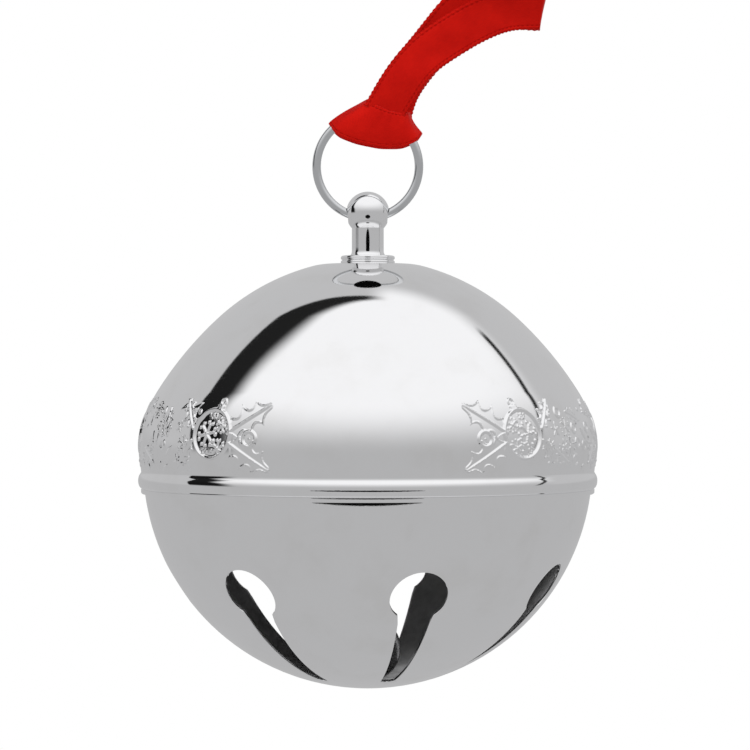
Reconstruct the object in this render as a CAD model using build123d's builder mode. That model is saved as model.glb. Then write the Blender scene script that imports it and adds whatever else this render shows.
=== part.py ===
"""Hanging sleigh-bell ornament: two silver half shells, a finial with a ring, a ribbon and a striker."""
import os
from math import cos, degrees, radians, sin, sqrt, tan

from build123d import *

os.makedirs("parts", exist_ok=True)

# ---------------------------------------------------------------- driving dimensions (mm)
# the shells; heights are counted from the girdle, the plane of the rolled bead
girdle_radius = 38.1  # outside of the rolled bead: a three-inch bell
crown_height = 36.2  # flat seat on top of the dome, above the girdle
dome_reach = 30.1  # from the girdle in to the edge of that seat
wall = 0.6  # sheet thickness of both shells
shoulder_setback = 0.25  # how far the dome's upright shoulder lies inside the bead
dome_rise = 31.2  # from that shoulder up to the seat
shoulder_bend = 19.0  # radius of the bend above it, over shoulder_sweep degrees
shoulder_sweep = 32.0
flank_bend = 60.0  # flatter stretch between shoulder and crown
flank_sweep = 15.0
waist_depth = 0.5  # how far the waist above the bead lies inside it
bead_half_height = 1.75  # the bead and its lip reach this far up and down
lip_setback = 0.65  # how far the lip's lower edge lies inside the bead
bowl_setback = 0.8  # how much smaller the spherical bowl is than the girdle
bowl_center_height = 3.16  # its centre above the girdle
seam_clearance = 0.05  # solder gap between the bowl's spigot and the dome's rim
spigot_height = 1.6  # the bowl's spigot reaches this far above the girdle
spigot_setback = 1.15  # outside of the spigot inside the bead

# the keyhole slots in the bowl
slot_count = 7
slot_azimuth = 15.0  # first slot, from the front (-Y) towards +X, degrees
slot_eye_diameter = 9.4
slot_eye_angle = 57.5  # centre of the round end, from the bottom pole, degrees
slot_tip_angle = 18.0  # narrow end, from the bottom pole, degrees
slot_stem_width = 6.1  # where the stem leaves the round end
slot_tip_width = 2.4

# the finial, its collar and what holds it inside
ball_diameter = 7.24
ball_height = 8.5  # centre of the ball above the crown
neck_diameter = 5.3
neck_foot_diameter = 5.9
neck_foot_height = 0.8
collar_diameter = 9.0
collar_thickness = 1.45
collar_groove = 0.25
stud_diameter = 2.9
stud_clearance = 0.1  # between the stud and every hole that it passes
stud_overrun = 0.8  # stud showing past the nut
washer_diameter = 7.0
washer_thickness = 0.5
nut_across_flats = 5.5
nut_thickness = 2.4
cross_hole_drop = 0.25  # axis of the ring's hole below the ball's centre
cross_hole_clearance = 0.25  # between the ring's wire and the hole, at the tightest places

# the hanging ring
ring_radius = 8.52  # middle of the wire
wire_diameter = 1.43
ring_butt_gap = 0.12

# the ribbon: a loop hitched over the ring, hung by its far fold
ribbon_width = 7.0
ribbon_thickness = 0.4
strand_spacing = 3.0  # between the middles of the front and the rear strand
hitch_depth = 6.4
hem_drop = 6.2  # from the top of the ring down to the lower edge of the hitch
hitch_clearance = 0.3  # between the hitch and the ring's wire
hang_offset = 27.9  # from the bell's axis out to the fold
hang_rise = 42.3  # from the crown up to the fold
ribbon_route = [  # (x, z) of one strand from the fold back to the hitch
    (0.0, 0.0),
    (-5.06, 0.0),
    (-10.0, -1.2),
    (-14.5, -3.6),
    (-18.4, -6.9),
    (-21.6, -10.8),
    (-24.1, -15.2),
]

# the striker
pellet_diameter = 11.0
pellet_clearance = 0.3

# ---------------------------------------------------------------- places that follow from them
# the origin is the middle of the ribbon's fold, where the ornament hangs
axis_x = -hang_offset
hang_height = crown_height + hang_rise
girdle_z = -hang_height
bell = Plane(origin=(axis_x, 0, girdle_z), x_dir=(1, 0, 0), z_dir=(0, -1, 0))
bell_axis = Axis((axis_x, 0, 0), (0, 0, 1))
spigot_radius = girdle_radius - spigot_setback
rim_radius = spigot_radius + seam_clearance
waist_radius = girdle_radius - waist_depth
shoulder_radius = girdle_radius - shoulder_setback
shoulder_height = crown_height - dome_rise
seat_radius = girdle_radius - dome_reach
bowl_radius = girdle_radius - bowl_setback
hole_radius = stud_diameter / 2 + stud_clearance
stud_length = collar_thickness + wall + washer_thickness + nut_thickness + stud_overrun
ball_center = crown_height + ball_height
cross_hole_height = ball_center - cross_hole_drop

# the wire rises towards the ball's sides, so the hole has to take its lowest and highest points
wire_reach = ball_diameter / 2
wire_slope = sqrt(ring_radius**2 - wire_reach**2) / ring_radius
wire_rise = ring_radius - sqrt(ring_radius**2 - wire_reach**2)
wire_low = -wire_diameter / 2
wire_high = wire_rise + wire_diameter / 2 / wire_slope
cross_hole_diameter = wire_high - wire_low + 2 * cross_hole_clearance
ring_bottom = cross_hole_height - (wire_high + wire_low) / 2
ring_center = ring_bottom + ring_radius


def dome_line(inset):
    """Skin of the dome from its shoulder up to the edge of the flat seat, inset by the sheet."""
    start = (shoulder_radius - inset, shoulder_height)
    shoulder = JernArc(start, (0, 1), shoulder_bend - inset, shoulder_sweep)
    flank = JernArc(shoulder @ 1, shoulder % 1, flank_bend - inset, flank_sweep)
    TangentArc(flank @ 1, (seat_radius, crown_height - inset), tangent=flank % 1)


# ---------------------------------------------------------------- upper shell: dome, waist and bead
lip_height = -bead_half_height
with BuildPart() as upper_shell:
    with BuildSketch(bell):
        with BuildLine():
            Line((hole_radius, crown_height), (seat_radius, crown_height))
            dome_line(0)
            waist = Spline(
                (shoulder_radius, shoulder_height),
                (waist_radius, bead_half_height),
                tangents=[(0, -1), (0.15, -1)],
            )
            bead = ThreePointArc(
                waist @ 1, (girdle_radius, 0), (girdle_radius - lip_setback, lip_height)
            )
            Line(bead @ 1, (rim_radius, lip_height))
            rim = Line((rim_radius, lip_height), (rim_radius, spigot_height + wall))
            Line(rim @ 1, (shoulder_radius - wall, shoulder_height))
            dome_line(wall)
            Line((seat_radius, crown_height - wall), (hole_radius, crown_height - wall))
            Line((hole_radius, crown_height - wall), (hole_radius, crown_height))
        make_face()
    revolve(axis=bell_axis)
    lip_edges = upper_shell.edges().filter_by(GeomType.CIRCLE).group_by(Axis.Z)[0]
    fillet(lip_edges.sort_by(SortBy.RADIUS)[-1:], wall / 4)
    top_edges = upper_shell.edges().filter_by(GeomType.CIRCLE).group_by(Axis.Z)[-1]
    fillet(top_edges.sort_by(SortBy.RADIUS)[-1:], 2 * wall)

# ---------------------------------------------------------------- lower shell: bowl with keyhole slots
bowl_edge = bowl_center_height - sqrt(bowl_radius**2 - spigot_radius**2)
bowl_inside = bowl_radius - wall
inner_edge = bowl_center_height - sqrt(bowl_inside**2 - (spigot_radius - wall) ** 2)
stem_length = bowl_radius * (sin(radians(slot_eye_angle - slot_tip_angle)))
with BuildPart() as lower_shell:
    with BuildSketch(bell):
        with BuildLine():
            pole = (0, bowl_center_height - bowl_radius)
            mid = (bowl_radius * sin(radians(45)), bowl_center_height - bowl_radius * cos(radians(45)))
            ThreePointArc(pole, mid, (spigot_radius, bowl_edge))
            Line((spigot_radius, bowl_edge), (spigot_radius, spigot_height))
            Line((spigot_radius, spigot_height), (spigot_radius - wall, spigot_height))
            Line((spigot_radius - wall, spigot_height), (spigot_radius - wall, inner_edge))
            inner_pole = (0, bowl_center_height - bowl_inside)
            inner_mid = (
                bowl_inside * sin(radians(45)),
                bowl_center_height - bowl_inside * cos(radians(45)),
            )
            ThreePointArc((spigot_radius - wall, inner_edge), inner_mid, inner_pole)
            Line(inner_pole, pole)
        make_face()
    revolve(axis=bell_axis)
    for step in range(slot_count):
        azimuth = radians(slot_azimuth + step * 360 / slot_count)
        tilt = radians(slot_eye_angle)
        outward = Vector(sin(tilt) * sin(azimuth), -sin(tilt) * cos(azimuth), -cos(tilt))
        downhill = Vector(-cos(tilt) * sin(azimuth), cos(tilt) * cos(azimuth), -sin(tilt))
        bowl_center = Vector(axis_x, 0, girdle_z + bowl_center_height)
        eye = Plane(origin=bowl_center + outward * (bowl_radius / 2), x_dir=downhill, z_dir=outward)
        with BuildSketch(eye):
            Circle(slot_eye_diameter / 2)
            with BuildLine():
                Polyline(
                    (0, slot_stem_width / 2),
                    (stem_length, slot_tip_width / 2),
                    (stem_length, -slot_tip_width / 2),
                    (0, -slot_stem_width / 2),
                    close=True,
                )
            make_face()
        extrude(amount=bowl_radius, mode=Mode.SUBTRACT)

# ---------------------------------------------------------------- finial: ball, neck and stud
neck_base = crown_height + collar_thickness
with BuildPart() as finial:
    with BuildSketch(bell):
        with BuildLine():
            neck_top = ball_center - sqrt(ball_diameter**2 - neck_diameter**2) / 2
            foot_top = neck_base + neck_foot_height
            ball_arc = CenterArc((0, ball_center), ball_diameter / 2, -90, 180)
            Line((0, ball_center + ball_diameter / 2), (0, ball_center - ball_diameter / 2))
        make_face()
        with BuildLine():
            Line((0, neck_base - stud_length), (stud_diameter / 2, neck_base - stud_length))
            Line((stud_diameter / 2, neck_base - stud_length), (stud_diameter / 2, neck_base))
            Line((stud_diameter / 2, neck_base), (neck_foot_diameter / 2, neck_base))
            Spline(
                (neck_foot_diameter / 2, neck_base),
                (neck_diameter / 2, foot_top),
                tangents=[(-0.4, 1), (0, 1)],
            )
            Line((neck_diameter / 2, foot_top), (neck_diameter / 2, neck_top))
            Line((neck_diameter / 2, neck_top), (0, neck_top))
            Line((0, neck_top), (0, neck_base - stud_length))
        make_face()
    revolve(axis=bell_axis)
    through = Plane(origin=(axis_x, 0, girdle_z + cross_hole_height), z_dir=(1, 0, 0))
    with BuildSketch(through):
        Circle(cross_hole_diameter / 2)
    extrude(amount=ball_diameter, both=True, mode=Mode.SUBTRACT)

# ---------------------------------------------------------------- collar, washer and nut
collar_middle = crown_height + collar_thickness / 2
with BuildPart() as collar:
    with BuildSketch(bell):
        with Locations(((hole_radius + collar_diameter / 2) / 2, collar_middle)):
            Rectangle(collar_diameter / 2 - hole_radius, collar_thickness)
        outer_corners = vertices().group_by(Axis.X)[-1]
        fillet(outer_corners, collar_thickness / 4)
        with Locations((collar_diameter / 2, collar_middle)):
            Circle(collar_groove, mode=Mode.SUBTRACT)
    revolve(axis=bell_axis)

seat_below = Plane(origin=(axis_x, 0, girdle_z + crown_height - wall), z_dir=(0, 0, -1))
with BuildPart() as inner_washer:
    with BuildSketch(seat_below):
        Circle(washer_diameter / 2)
        Circle(hole_radius, mode=Mode.SUBTRACT)
    extrude(amount=washer_thickness)

with BuildPart() as lock_nut:
    with BuildSketch(seat_below.offset(washer_thickness)):
        RegularPolygon(nut_across_flats / 2, 6, major_radius=False)
        Circle(hole_radius, mode=Mode.SUBTRACT)
    extrude(amount=nut_thickness)
    with BuildSketch(seat_below.offset(washer_thickness)):
        Circle(nut_across_flats / 2 * 1.06)
    extrude(amount=nut_thickness, taper=-6, mode=Mode.INTERSECT)

# ---------------------------------------------------------------- hanging ring: a closed jump ring
ring_plane = Plane(origin=(axis_x, 0, girdle_z + ring_center), x_dir=(1, 0, 0), z_dir=(0, -1, 0))
ring_axis = Axis(ring_plane.origin, (0, 1, 0))
half_gap = ring_butt_gap / 2 / ring_radius
butt_end = Plane(
    origin=ring_plane.origin,
    x_dir=(sin(half_gap), 0, cos(half_gap)),
    z_dir=(cos(half_gap), 0, -sin(half_gap)),
)
with BuildPart() as hanging_ring:
    with BuildSketch(butt_end):
        with Locations((ring_radius, 0)):
            Circle(wire_diameter / 2)
    revolve(axis=ring_axis, revolution_arc=360 - degrees(2 * half_gap))

# ---------------------------------------------------------------- ribbon: hitch over the ring
# the hitch is drawn about the ring's centre: a collar of ribbon, pulled in to a neck above the ring
strand_end = Vector(*ribbon_route[-1])
strand_side = (Vector(*ribbon_route[-2]) - strand_end).normalized().rotate(Axis.Z, -90)
neck = strand_end + Vector(hang_offset, hang_height - ring_center)
wire_outer = ring_radius + wire_diameter / 2
left_wrap = radians(45)
right_wrap = radians(61)
with BuildPart() as ribbon_hitch:
    with BuildSketch(ring_plane):
        with BuildLine():
            neck_left = neck - strand_side * (ribbon_width / 2)
            neck_right = neck + strand_side * (ribbon_width / 2)
            left_corner = (-wire_outer * sin(left_wrap), wire_outer * cos(left_wrap))
            right_corner = (wire_outer * sin(right_wrap), wire_outer * cos(right_wrap))
            hem_left = (left_corner[0] + ribbon_width / 5, left_corner[1] - ribbon_width / 5)
            hem_right = (right_corner[0] - ribbon_width / 5, right_corner[1] - ribbon_width / 5)
            hem_low = ((hem_left[0] + hem_right[0]) / 2, wire_outer - hem_drop)
            Line(neck_left, neck_right)
            Spline(neck_right, right_corner, tangents=[(-0.2, -1), (1, -1)])
            Line(right_corner, hem_right)
            ThreePointArc(hem_right, hem_low, hem_left)
            Line(hem_left, left_corner)
            Spline(left_corner, neck_left, tangents=[(1, 0.7), (0.8, 1)])
        make_face()
    extrude(amount=hitch_depth / 2, both=True)
    with BuildSketch(butt_end):
        with Locations((ring_radius, 0)):
            Circle(wire_diameter / 2 + hitch_clearance)
    revolve(axis=ring_axis, mode=Mode.SUBTRACT)

# ---------------------------------------------------------------- ribbon: loop up to its fold
corner_radii = []
for before, here, after in zip(ribbon_route, ribbon_route[1:], ribbon_route[2:]):
    run_in = Vector(*here) - Vector(*before)
    run_out = Vector(*after) - Vector(*here)
    half_turn = radians(run_in.get_angle(run_out)) / 2
    corner_radii.append(0.45 * min(run_in.length, run_out.length) / tan(half_turn))
print("ribbon radii (mm):", [round(r, 1) for r in corner_radii])

front = Plane(origin=(0, -strand_spacing / 2, 0), x_dir=(1, 0, 0), z_dir=(0, -1, 0))
with BuildPart() as ribbon_loop:
    with BuildSketch(front):
        with BuildLine():
            FilletPolyline(*ribbon_route, radius=corner_radii)
        trace(line_width=ribbon_width)
    extrude(amount=ribbon_thickness / 2, both=True)
    mirror(about=Plane.XZ)
    with BuildSketch(Plane.XY):
        Circle((strand_spacing + ribbon_thickness) / 2)
        Circle((strand_spacing - ribbon_thickness) / 2, mode=Mode.SUBTRACT)
        with Locations((-strand_spacing, 0)):
            Rectangle(2 * strand_spacing, 4 * strand_spacing, mode=Mode.SUBTRACT)
    extrude(amount=ribbon_width / 2, both=True)

# ---------------------------------------------------------------- striker
pellet_height = bowl_center_height - bowl_inside + pellet_clearance + pellet_diameter / 2
with BuildPart(Plane((axis_x, 0, girdle_z + pellet_height))) as pellet:
    Sphere(pellet_diameter / 2)

# ---------------------------------------------------------------- hand-over
pieces = {
    "upper_shell": upper_shell,
    "lower_shell": lower_shell,
    "finial": finial,
    "collar": collar,
    "inner_washer": inner_washer,
    "lock_nut": lock_nut,
    "hanging_ring": hanging_ring,
    "ribbon_hitch": ribbon_hitch,
    "ribbon_loop": ribbon_loop,
    "pellet": pellet,
}
for name, piece in pieces.items():
    piece.part.label = name
    export_step(piece.part, f"parts/{name}.step")
print("ring centre (mm):", round(axis_x, 3), round(girdle_z + ring_center, 3))
print("ball hole axis (mm):", round(girdle_z + cross_hole_height, 3))
print("bowl centre (mm):", round(girdle_z + bowl_center_height, 3))
print("pellet centre (mm):", round(girdle_z + pellet_height, 3))
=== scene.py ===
"""Looks of a hanging sleigh-bell ornament: silver shells, chased frieze, finial, ring, ribbon, studio."""
import logging
from dataclasses import dataclass, field
from enum import Enum
from math import acos, asin, atan2, cos, degrees, hypot, pi, radians, sin, sqrt, tau

import bmesh
import bpy
import numpy as np
from mathutils import Matrix, Vector


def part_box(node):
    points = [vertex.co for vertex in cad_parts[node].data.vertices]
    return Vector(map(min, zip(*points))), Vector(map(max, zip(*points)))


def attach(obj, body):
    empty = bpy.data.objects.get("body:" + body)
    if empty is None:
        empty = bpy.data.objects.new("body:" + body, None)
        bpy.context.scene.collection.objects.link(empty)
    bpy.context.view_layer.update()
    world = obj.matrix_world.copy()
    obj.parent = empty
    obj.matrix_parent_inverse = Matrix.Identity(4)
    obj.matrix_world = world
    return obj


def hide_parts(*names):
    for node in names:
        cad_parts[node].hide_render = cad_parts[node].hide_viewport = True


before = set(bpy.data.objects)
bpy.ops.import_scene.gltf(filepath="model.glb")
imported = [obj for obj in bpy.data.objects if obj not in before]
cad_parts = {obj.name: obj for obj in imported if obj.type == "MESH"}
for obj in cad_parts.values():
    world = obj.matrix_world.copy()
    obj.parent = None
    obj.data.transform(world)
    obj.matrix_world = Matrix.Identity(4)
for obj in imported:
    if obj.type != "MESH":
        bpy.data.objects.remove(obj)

MM = 0.001
MERGE = 0.003 * MM
WHITE = (1.0, 1.0, 1.0, 1.0)
LOG = logging.getLogger("sleigh_bell")


# ------------------------------------------------------------------------------------------ shaders
class Signal:
    """A number on a socket. Arithmetic on it adds Math nodes to the shader that it belongs to."""

    def __init__(self, shader: "Shader", socket: bpy.types.NodeSocket) -> None:
        """Wrap a socket.

        Args:
            shader: the builder that adds the nodes.
            socket: the output that carries the number.
        """
        self.shader = shader
        self.socket = socket

    def __add__(self, other: "Signal | float") -> "Signal":
        """Return self + other."""
        return self.shader.math("ADD", self, other)

    def __sub__(self, other: "Signal | float") -> "Signal":
        """Return self - other."""
        return self.shader.math("SUBTRACT", self, other)

    def __rsub__(self, other: "Signal | float") -> "Signal":
        """Return other - self."""
        return self.shader.math("SUBTRACT", other, self)

    def __mul__(self, other: "Signal | float") -> "Signal":
        """Return self * other."""
        return self.shader.math("MULTIPLY", self, other)

    def __neg__(self) -> "Signal":
        """Return minus self."""
        return self.shader.math("MULTIPLY", self, -1.0)

    def __abs__(self) -> "Signal":
        """Return the size of self."""
        return self.shader.math("ABSOLUTE", self)

    __radd__ = __add__
    __rmul__ = __mul__


Value = Signal | bpy.types.NodeSocket | float | tuple


class Shader:
    """Builds the node tree of a material or of the world."""

    def __init__(self, owner: bpy.types.ID) -> None:
        """Empty the owner's tree.

        Args:
            owner: a material or a world.
        """
        owner.use_nodes = True
        self.tree = owner.node_tree
        self.tree.nodes.clear()

    def node(self, kind: str, settings: dict | None = None, inputs: dict | None = None) -> bpy.types.Node:
        """Add a node.

        Args:
            kind: the node's type.
            settings: its properties, set before its sockets.
            inputs: socket name or number, with the value or the link that it takes.

        Returns:
            The node.
        """
        made = self.tree.nodes.new(kind)
        for name, value in (settings or {}).items():
            setattr(made, name, value)
        for name, value in (inputs or {}).items():
            source = value.socket if isinstance(value, Signal) else value
            if isinstance(source, bpy.types.NodeSocket):
                self.tree.links.new(source, made.inputs[name])
            else:
                made.inputs[name].default_value = source
        return made

    def math(self, operation: str, *values: Value, clamp: bool = False) -> Signal:
        """Add a Math node.

        Args:
            operation: its operation.
            values: its inputs, in order.
            clamp: whether the result stays between 0 and 1.

        Returns:
            Its result.
        """
        settings = {"operation": operation, "use_clamp": clamp}
        made = self.node("ShaderNodeMath", settings, dict(enumerate(values)))
        return Signal(self, made.outputs[0])

    def fade(self, value: Signal, start: float | Signal, end: float | Signal) -> Signal:
        """Turn a number into a smooth step.

        Args:
            value: the number.
            start: where the step is 0.
            end: where the step is 1.

        Returns:
            The step, between 0 and 1.
        """
        settings = {"interpolation_type": "SMOOTHSTEP"}
        made = self.node("ShaderNodeMapRange", settings, {"Value": value, 1: start, 2: end})
        return Signal(self, made.outputs["Result"])

    def blend(self, factor: Value, first: Value, second: Value) -> bpy.types.NodeSocket:
        """Mix two colours.

        Args:
            factor: the share of the second.
            first: a colour.
            second: a colour.

        Returns:
            The mixed colour's socket.
        """
        settings = {"data_type": "RGBA"}
        return self.node("ShaderNodeMix", settings, {0: factor, 6: first, 7: second}).outputs[2]

    def axes(self, vector: bpy.types.NodeSocket) -> tuple[Signal, Signal, Signal]:
        """Split a vector.

        Args:
            vector: its socket.

        Returns:
            Its three numbers.
        """
        made = self.node("ShaderNodeSeparateXYZ", None, {0: vector})
        return tuple(Signal(self, made.outputs[i]) for i in range(3))

    def noise(
        self, coordinates: Value, size: float, detail: float = 2.0, stretch: tuple = (1, 1, 1)
    ) -> Signal:
        """Add a noise.

        Args:
            coordinates: a vector in metres.
            size: width of its spots in metres.
            detail: octaves.
            stretch: how much finer it is along each axis.

        Returns:
            The noise, around 0.5.
        """
        scaled = self.node("ShaderNodeMapping", None, {"Vector": coordinates, "Scale": stretch})
        inputs = {"Vector": scaled.outputs[0], "Scale": 1 / size, "Detail": detail}
        return Signal(self, self.node("ShaderNodeTexNoise", None, inputs).outputs["Fac"])

    def bump(
        self, height: Signal, depth: float, normal: bpy.types.NodeSocket | None = None
    ) -> bpy.types.NodeSocket:
        """Add a bump.

        Args:
            height: the relief, 0 to 1.
            depth: its height in metres.
            normal: a normal to start from.

        Returns:
            The bumped normal's socket.
        """
        inputs = {"Height": height, "Distance": depth, "Strength": 1.0}
        if normal is not None:
            inputs["Normal"] = normal
        return self.node("ShaderNodeBump", None, inputs).outputs[0]

    def coordinates(self, kind: str = "Object") -> bpy.types.NodeSocket:
        """Return the socket of the piece's own coordinates of that kind."""
        return self.node("ShaderNodeTexCoord").outputs[kind]

    def surface(self, **inputs: Value) -> None:
        """End a material in a Principled shader.

        Args:
            inputs: its sockets, with underscores for spaces.
        """
        named = {name.replace("_", " "): value for name, value in inputs.items()}
        made = self.node("ShaderNodeBsdfPrincipled", None, named)
        self.node("ShaderNodeOutputMaterial", None, {"Surface": made.outputs[0]})


@dataclass(frozen=True)
class Finish:
    """What a piece is finished in. Each kind of finish draws its own shader."""

    name: str

    def material(self) -> bpy.types.Material:
        """Make the finish a material.

        Returns:
            The material.
        """
        made = bpy.data.materials.new(self.name)
        self.draw(Shader(made))
        return made

    def draw(self, shader: Shader) -> None:
        """Draw the finish.

        Args:
            shader: the material's shader.
        """
        raise NotImplementedError


@dataclass(frozen=True)
class SilverPlate(Finish):
    """Polished silver plate over sheet metal, a little uneven and faintly scuffed."""

    tint: tuple = (0.9, 0.9, 0.905, 1.0)
    shade: tuple = (0.8, 0.79, 0.775, 1.0)
    roughness: float = 0.035
    ripple: float = 0.012 * MM
    ripple_size: float = 9 * MM

    def draw(self, shader: Shader) -> None:
        """Draw the finish.

        Args:
            shader: the material's shader.
        """
        place = shader.coordinates()
        cloud = shader.noise(place, 7 * MM, 4.0)
        scuff = shader.noise(place, 0.35 * MM, 3.0, (1, 1, 7))
        ripple = shader.noise(place, self.ripple_size, 1.0)
        tone = shader.blend(shader.fade(cloud, 0.45, 0.8) * 0.35, self.tint, self.shade)
        rough = self.roughness + shader.fade(cloud, 0.4, 0.75) * 0.02 + shader.fade(scuff, 0.55, 0.8) * 0.03
        normal = shader.bump(scuff, 0.0012 * MM, shader.bump(ripple, self.ripple))
        shader.surface(Base_Color=tone, Metallic=1.0, Roughness=rough, Normal=normal)


@dataclass(frozen=True)
class TurnedMetal(Finish):
    """Lathe-turned or ground metal, with fine marks round the bell's axis."""

    tint: tuple
    shade: tuple
    roughness: float

    def draw(self, shader: Shader) -> None:
        """Draw the finish.

        Args:
            shader: the material's shader.
        """
        place = shader.coordinates()
        rings = shader.noise(place, 0.4 * MM, 2.0, (0.15, 0.15, 4))
        cloud = shader.noise(place, 2.5 * MM, 3.0)
        tone = shader.blend(shader.fade(cloud, 0.35, 0.7), self.tint, self.shade)
        rough = self.roughness + shader.fade(rings, 0.4, 0.7) * 0.12
        normal = shader.bump(rings, 0.004 * MM)
        shader.surface(Base_Color=tone, Metallic=1.0, Roughness=rough, Normal=normal)


@dataclass(frozen=True)
class Satin(Finish):
    """Red satin ribbon: fine floats that catch the light, and a stitched selvedge on both sides."""

    bright: tuple = (0.92, 0.014, 0.007, 1.0)
    deep: tuple = (0.62, 0.006, 0.004, 1.0)
    seam: tuple = (0.34, 0.0, 0.0, 1.0)
    width: float = 7.0 * MM
    thread: float = 0.24 * MM
    stitch: float = 0.82 * MM
    hem: float = 0.62 * MM

    def draw(self, shader: Shader) -> None:
        """Draw the finish from UV in metres: across the ribbon, then along it.

        Args:
            shader: the material's shader.
        """
        place = shader.coordinates("UV")
        across, along, _ = shader.axes(place)
        twill = shader.math("SINE", (across * 0.9 + along) * (tau / self.thread))
        floats = shader.noise(place, 0.42 * MM, 3.0, (3.0, 0.5, 1))
        slub = shader.noise(place, 4.5 * MM, 2.0)
        inset = self.width / 2 - abs(across - self.width / 2)
        line = 1 - shader.fade(abs(inset - self.hem), 0.05 * MM, 0.22 * MM)
        dots = shader.fade(shader.math("SINE", along * (tau / self.stitch)), -0.5, 0.6)
        edge = 1 - shader.fade(inset, self.hem * 0.4, self.hem)
        tone = shader.fade(slub * 0.6 + floats * 0.4, 0.25, 0.7) * 0.6 + shader.fade(twill, -1.0, 1.0) * 0.4
        cloth = shader.blend(tone, self.deep, self.bright)
        colour = shader.blend(line * (0.1 + dots * 0.4), cloth, self.seam)
        rough = 0.34 + floats * 0.16 + edge * 0.12
        weave = shader.bump(shader.fade(twill, -1.0, 1.0), 0.008 * MM, shader.bump(floats, 0.02 * MM))
        normal = shader.bump(dots * edge + (1 - line) * 0.6, 0.06 * MM, weave)
        shader.surface(
            Base_Color=colour, Metallic=0.5, Roughness=rough, Normal=normal, Specular_IOR_Level=0.06
        )


# ---------------------------------------------------------------------------------- mesh utilities
@dataclass
class Turning:
    """A mesh turned about an upright axis from a closed or open outline."""

    name: str
    outline: list
    segments: int
    closed: bool = True

    def mesh(self, axis: Vector) -> bmesh.types.BMesh:
        """Spin the outline.

        Args:
            axis: a point on the axis in metres, at height 0 of the outline.

        Returns:
            The turned mesh, its faces pointing outwards.
        """
        made = bmesh.new()
        verts = [made.verts.new((r * MM, 0, h * MM)) for r, h in self.outline]
        pairs = list(zip(verts, verts[1:])) + ([(verts[-1], verts[0])] if self.closed else [])
        edges = [made.edges.new(pair) for pair in pairs]
        bmesh.ops.spin(
            made, geom=verts + edges, cent=(0, 0, 0), axis=(0, 0, 1), dvec=(0, 0, 0),
            angle=tau, steps=self.segments, use_merge=True, use_duplicate=False,
        )
        bmesh.ops.remove_doubles(made, verts=made.verts, dist=MERGE / 6)
        bmesh.ops.recalc_face_normals(made, faces=made.faces)
        bmesh.ops.translate(made, verts=made.verts, vec=axis)
        return made


def finish_piece(
    name: str, made: bmesh.types.BMesh, material: bpy.types.Material, body: str, crease: float
) -> bpy.types.Object:
    """Turn a bmesh into a shaded piece that rides on a body.

    Args:
        name: the piece's name.
        made: its mesh, which is freed.
        material: its finish.
        body: the body that it moves with.
        crease: angle in degrees above which an edge stays sharp.

    Returns:
        The piece.
    """
    data = bpy.data.meshes.new(name)
    made.to_mesh(data)
    made.free()
    data.materials.append(material)
    data.shade_smooth()
    data.set_sharp_from_angle(angle=radians(crease))
    piece = bpy.data.objects.new(name, data)
    bpy.context.scene.collection.objects.link(piece)
    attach(piece, body)
    LOG.info("%s: %d faces", name, len(data.polygons))
    return piece


def thicken(piece: bpy.types.Object, thickness: float, offset: float = 0.0, lining: int = 0) -> None:
    """Give a sheet its thickness.

    Args:
        piece: the sheet.
        thickness: in mm.
        offset: 0 for half to each side, -1 for all of it on the back.
        lining: how many materials further on the back takes its finish.
    """
    sheet = piece.modifiers.new("sheet", "SOLIDIFY")
    sheet.thickness = thickness * MM
    sheet.offset = offset
    sheet.use_even_offset = False
    sheet.material_offset = lining


def line_inside(piece: bpy.types.Object, center: Vector, lining: bpy.types.Material) -> None:
    """Give the faces that look back at a shell's middle their own finish.

    Args:
        piece: the shell.
        center: a point in its middle.
        lining: the finish of its inside.
    """
    piece.data.materials.append(lining)
    for face in piece.data.polygons:
        outward = (face.center - center).normalized()
        face.material_index = 1 if face.normal.dot(outward) < -0.5 else 0


def arc(center: tuple, radius: float, start: float, end: float, steps: int) -> list:
    """Points of an arc.

    Args:
        center: its centre.
        radius: its radius.
        start: first angle in degrees.
        end: last angle in degrees.
        steps: how many spans.

    Returns:
        The points, both ends included.
    """
    turns = [radians(start + (end - start) * i / steps) for i in range(steps + 1)]
    return [(center[0] + radius * cos(a), center[1] + radius * sin(a)) for a in turns]


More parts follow.
